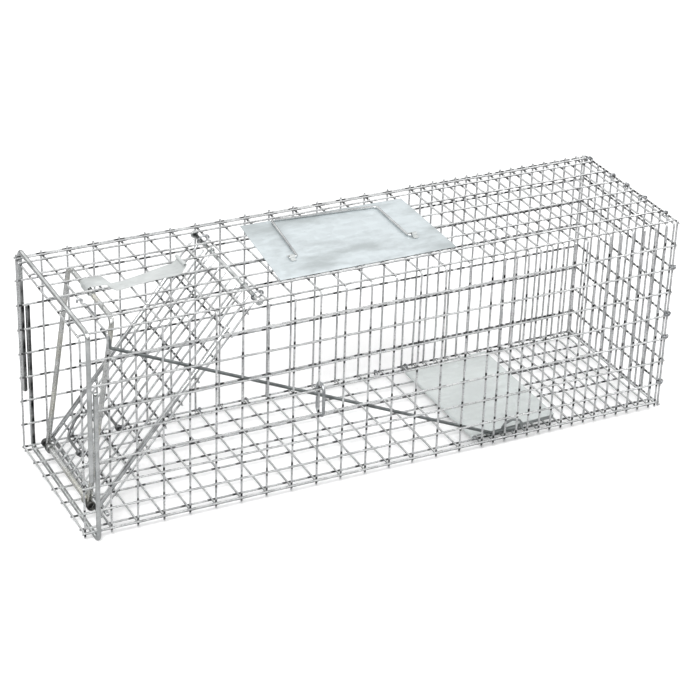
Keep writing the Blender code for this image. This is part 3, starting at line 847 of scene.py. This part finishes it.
def ramp(tree, source, *stops):
    """A value turned into greys or colours; each stop is a value and its shade."""
    made = add(tree, "ShaderNodeValToRGB", {"Fac": source})
    elements = made.color_ramp.elements
    while len(elements) < len(stops):
        elements.new(0.5)
    for element, (place, shade) in zip(elements, stops):
        element.position = place
        element.color = (*shade, 1) if isinstance(shade, tuple) else (shade, shade, shade, 1)
    return made.outputs["Color"]


def mixed(tree, share, under, over):
    """One colour laid over another; the share is how much of it covers."""
    made = add(tree, "ShaderNodeMix", data_type="RGBA")
    feed(tree, made.inputs[0], share)
    for index, colour in ((6, under), (7, over)):
        feed(tree, made.inputs[index], (*colour, 1) if isinstance(colour, tuple) else colour)
    return made.outputs[2]


def maths(tree, operation, a, b):
    made = add(tree, "ShaderNodeMath", operation=operation)
    feed(tree, made.inputs[0], a)
    feed(tree, made.inputs[1], b)
    return made.outputs[0]


def plus(tree, a, b):
    return maths(tree, "ADD", a, b)


def times(tree, a, b):
    return maths(tree, "MULTIPLY", a, b)


def new_material(name):
    """A material, its nodes, its shader, and the places on the piece in metres."""
    made = bpy.data.materials.new(name)
    made.use_nodes = True
    tree = made.node_tree
    place = add(tree, "ShaderNodeTexCoord").outputs["Object"]
    return made, tree, tree.nodes["Principled BSDF"], place


def noise_of(tree, place, scale, detail=3.0, roughness=0.55):
    values = {"Vector": place, "Scale": scale, "Detail": detail, "Roughness": roughness}
    return add(tree, "ShaderNodeTexNoise", values).outputs["Fac"]


# the colour painted in for shade at the welds and on the hoops' far legs, and at the ends of the
# bail's foot
DARKENED_COLOUR = (0.006, 0.006, 0.007)


def zinc_wire(name, light, dark, rough=(0.24, 0.46), metallic=0.92, warm=None):
    """Zinc-coated wire: cloudy grey, a crystalline grain, dull and darkened where the mesh says:
    painted shade at the welds and on the hoops' far legs, and the darker ends of the bail's foot.
    """
    made, tree, shader, place = new_material(name)
    cloud = noise_of(tree, place, 75)
    grain = noise_of(tree, place, 1100, 2)
    tone = plus(tree, times(tree, cloud, 0.65), times(tree, grain, 0.35))
    colour = ramp(tree, tone, (0.34, dark), (0.62, light))
    if warm:
        patches = ramp(tree, noise_of(tree, place, 34, 4), (0.50, 0.0), (0.66, 0.75))
        colour = mixed(tree, patches, colour, warm)
    # painted shade and darkening, read from the mesh and spotted by noise
    darkness = add(tree, "ShaderNodeAttribute", attribute_name="darkness").outputs["Fac"]
    scale = ramp(tree, noise_of(tree, place, 420, 3), (0.34, 0.85), (0.50, 1.0))
    dark_amount = times(tree, darkness, scale)
    colour = mixed(tree, dark_amount, colour, DARKENED_COLOUR)
    feed(tree, shader.inputs["Base Color"], colour)
    shine = ramp(tree, grain, (0.35, rough[0]), (0.65, rough[1]))
    feed(tree, shader.inputs["Roughness"], plus(tree, shine, times(tree, dark_amount, 0.3)))
    shader.inputs["Metallic"].default_value = metallic
    bump = add(tree, "ShaderNodeBump", {"Height": grain, "Strength": 0.35, "Distance": 0.00012})
    feed(tree, shader.inputs["Normal"], bump.outputs["Normal"])
    return made


def galvanised(name, pale, grey, smear_share, metallic):
    """Galvanised sheet: pale crystals a few millimetres wide, rolled streaks, and grey smears that
    are partly rubbed dirt and partly painted reflection.
    """
    made, tree, shader, place = new_material(name)
    crystals = add(tree, "ShaderNodeTexVoronoi",
                   {"Vector": place, "Scale": 150.0, "Randomness": 1.0}).outputs["Color"]
    facet = add(tree, "ShaderNodeSeparateColor", {"Color": crystals}).outputs[0]
    streak_place = add(tree, "ShaderNodeMapping", {"Vector": place, "Scale": (0.12, 1.0, 1.0)})
    streaks = noise_of(tree, streak_place.outputs["Vector"], 160, 4)
    tone = plus(tree, times(tree, facet, 0.30), times(tree, streaks, 0.70))
    colour = ramp(tree, tone, (0.25, tuple(0.86 * c for c in pale)), (0.70, pale))
    smear_place = add(tree, "ShaderNodeMapping", {"Vector": place, "Scale": (0.45, 1.0, 1.0)})
    smears = noise_of(tree, smear_place.outputs["Vector"], 26, 5, 0.62)
    # grey smears: partly rubbed dirt, partly painted reflection
    smear_cover = ramp(tree, smears, (0.47, 0.0), (0.64, smear_share))
    colour = mixed(tree, smear_cover, colour, grey)
    specks = ramp(tree, noise_of(tree, place, 700, 2), (0.66, 0.0), (0.74, 0.35))
    colour = mixed(tree, specks, colour, tuple(0.6 * c for c in grey))
    feed(tree, shader.inputs["Base Color"], colour)
    feed(tree, shader.inputs["Roughness"], ramp(tree, tone, (0.2, 0.34), (0.8, 0.52)))
    shader.inputs["Metallic"].default_value = metallic
    relief = plus(tree, noise_of(tree, place, 900), facet)
    bump = add(tree, "ShaderNodeBump", {"Height": relief, "Strength": 0.12, "Distance": 0.0001})
    feed(tree, shader.inputs["Normal"], bump.outputs["Normal"])
    return made


CAGE_ZINC = zinc_wire("cage_zinc", (0.87, 0.88, 0.88), (0.50, 0.51, 0.515))
DOOR_ZINC = zinc_wire("door_zinc", (0.80, 0.815, 0.82), (0.44, 0.45, 0.455))
HOOP_ZINC = zinc_wire("hoop_zinc", (0.84, 0.86, 0.855), (0.50, 0.52, 0.515), rough=(0.10, 0.24),
                      metallic=1.0)
BAIL_ZINC = zinc_wire("bail_zinc", (0.78, 0.79, 0.78), (0.46, 0.47, 0.46), rough=(0.16, 0.32),
                      warm=(0.74, 0.72, 0.62))
DOOR_ROD_ZINC = zinc_wire("door_rod_zinc", (0.86, 0.88, 0.88), (0.42, 0.43, 0.435),
                          rough=(0.10, 0.22), metallic=1.0)
TRIGGER_STEEL = zinc_wire("trigger_steel", (0.27, 0.29, 0.29), (0.10, 0.11, 0.11),
                          rough=(0.34, 0.54))
HANDLE_ZINC = zinc_wire("handle_zinc", (0.78, 0.80, 0.80), (0.42, 0.43, 0.44), rough=(0.14, 0.30))
SMALL_ZINC = zinc_wire("small_wire_zinc", (0.66, 0.68, 0.69), (0.30, 0.31, 0.32))
RING_STEEL = zinc_wire("ring_steel", (0.42, 0.43, 0.44), (0.16, 0.17, 0.18), rough=(0.30, 0.50))
PLATE_SHEET = galvanised("plate_sheet", (0.61, 0.665, 0.685), (0.36, 0.395, 0.40), 0.8, 0.3)
TREADLE_SHEET = galvanised("treadle_sheet", (0.71, 0.75, 0.74), (0.50, 0.53, 0.525), 0.4, 0.25)
HANGER_SHEET = galvanised("hanger_sheet", (0.59, 0.615, 0.61), (0.33, 0.35, 0.345), 0.7, 0.3)
PULL_STEEL = zinc_wire("pull_steel", (0.26, 0.27, 0.27), (0.06, 0.06, 0.065), rough=(0.26, 0.44))
# dark sheet that paints in shade on the treadle's ear and flange
SHADE_SHEET = galvanised("ear_and_flange_shade", (0.30, 0.32, 0.32), (0.12, 0.13, 0.13), 0.6, 0.5)


# ---------------------------------------------------------------- studio


FLOOR_WIDTH = 24
LIGHTS = (("key", (-1.3, -1.6, 2.4), 1.4, 75), ("fill", (2.0, -0.6, 1.6), 1.2, 22))  # width, watts
LIT_PLACE = Vector((0, 0, 0.1))


def studio():
    """A white floor that the metal mirrors as dark grey, a painted reflection; a white sky with a
    darker horizon for the metal to mirror; two soft lights.
    """
    bpy.ops.mesh.primitive_plane_add(size=FLOOR_WIDTH, location=(0, 0, CAD_BOX[0].z))
    floor = bpy.context.object
    floor.name = "studio_floor"
    made, tree, shader, place = new_material("studio_white")
    paper = ramp(tree, noise_of(tree, place, 3), (0.3, 0.86), (0.7, 0.88))
    # painted reflection: in glossy rays the floor is dark grey, so the metal mirrors a dark floor
    mirrored = add(tree, "ShaderNodeLightPath").outputs["Is Glossy Ray"]
    paper = mixed(tree, mirrored, paper, (0.22, 0.22, 0.225))
    feed(tree, shader.inputs["Base Color"], paper)
    shader.inputs["Emission Color"].default_value = (1, 1, 1, 1)
    shader.inputs["Emission Strength"].default_value = 0.22
    shader.inputs["Roughness"].default_value = 0.9
    floor.data.materials.append(made)

    world = bpy.data.worlds.new("studio_sky")
    bpy.context.scene.world = world
    world.use_nodes = True
    tree = world.node_tree
    way = add(tree, "ShaderNodeTexCoord").outputs["Generated"]
    height = add(tree, "ShaderNodeSeparateXYZ", {"Vector": way}).outputs["Z"]
    sky = ramp(tree, height, (0.0, 0.12), (0.15, 0.25), (0.42, 1.0), (0.74, 1.0), (0.93, 0.5))
    seen = add(tree, "ShaderNodeLightPath").outputs["Is Camera Ray"]
    sky = mixed(tree, seen, sky, (0.97, 0.97, 0.97))
    feed(tree, tree.nodes["Background"].inputs["Color"], sky)
    tree.nodes["Background"].inputs["Strength"].default_value = 1.0
    for name, place, width, power in LIGHTS:
        light = bpy.data.lights.new(name, "AREA")
        light.size = width
        light.energy = power
        item = bpy.data.objects.new(name, light)
        item.location = place
        item.rotation_euler = (LIT_PLACE - Vector(place)).to_track_quat("-Z", "Y").to_euler()
        bpy.context.scene.collection.objects.link(item)
    bpy.context.scene.view_settings.view_transform = "Standard"


CAMERA_PLACE = (-0.86736, -1.68872, 1.11310)
CAMERA_ANGLES = (-27.133, 28.454, 2.037)  # azimuth, elevation and roll
CAMERA_LENS = 115.76


def camera():
    """Above the near side and towards the front, a long lens with a slight roll."""
    azimuth, elevation, roll = (math.radians(angle) for angle in CAMERA_ANGLES)
    back = Vector((math.sin(azimuth) * math.cos(elevation),
                   -math.cos(azimuth) * math.cos(elevation), math.sin(elevation)))
    level = Vector((math.cos(azimuth), math.sin(azimuth), 0))
    steep = back.cross(level)
    right = level * math.cos(roll) + steep * math.sin(roll)
    up = steep * math.cos(roll) - level * math.sin(roll)
    lens = bpy.data.cameras.new("camera")
    lens.sensor_width = 36
    lens.lens = CAMERA_LENS
    item = bpy.data.objects.new("camera", lens)
    item.matrix_world = Matrix((right, up, back)).transposed().to_4x4()
    item.location = CAMERA_PLACE
    bpy.context.scene.collection.objects.link(item)
    bpy.context.scene.camera = item


near_wall_and_roof(CAGE_ZINC)
far_wall(CAGE_ZINC)
floor_mesh(CAGE_ZINC)
rear_wall(CAGE_ZINC)
tie_rings(RING_STEEL)
hinge_clips(RING_STEEL)
front_hoops(HOOP_ZINC)
door(DOOR_ZINC, DOOR_ROD_ZINC, PULL_STEEL)
hinge_rod(HOOP_ZINC)
lock_bail(BAIL_ZINC)
bail_hanger(HANGER_SHEET)
bail_keeper(SMALL_ZINC)
treadle(TREADLE_SHEET, SMALL_ZINC, SHADE_SHEET)
trigger_rod(TRIGGER_STEEL)
guide_link(SMALL_ZINC)
handle_plate(PLATE_SHEET)
handle(HANDLE_ZINC, HANGER_SHEET)
studio()
camera()
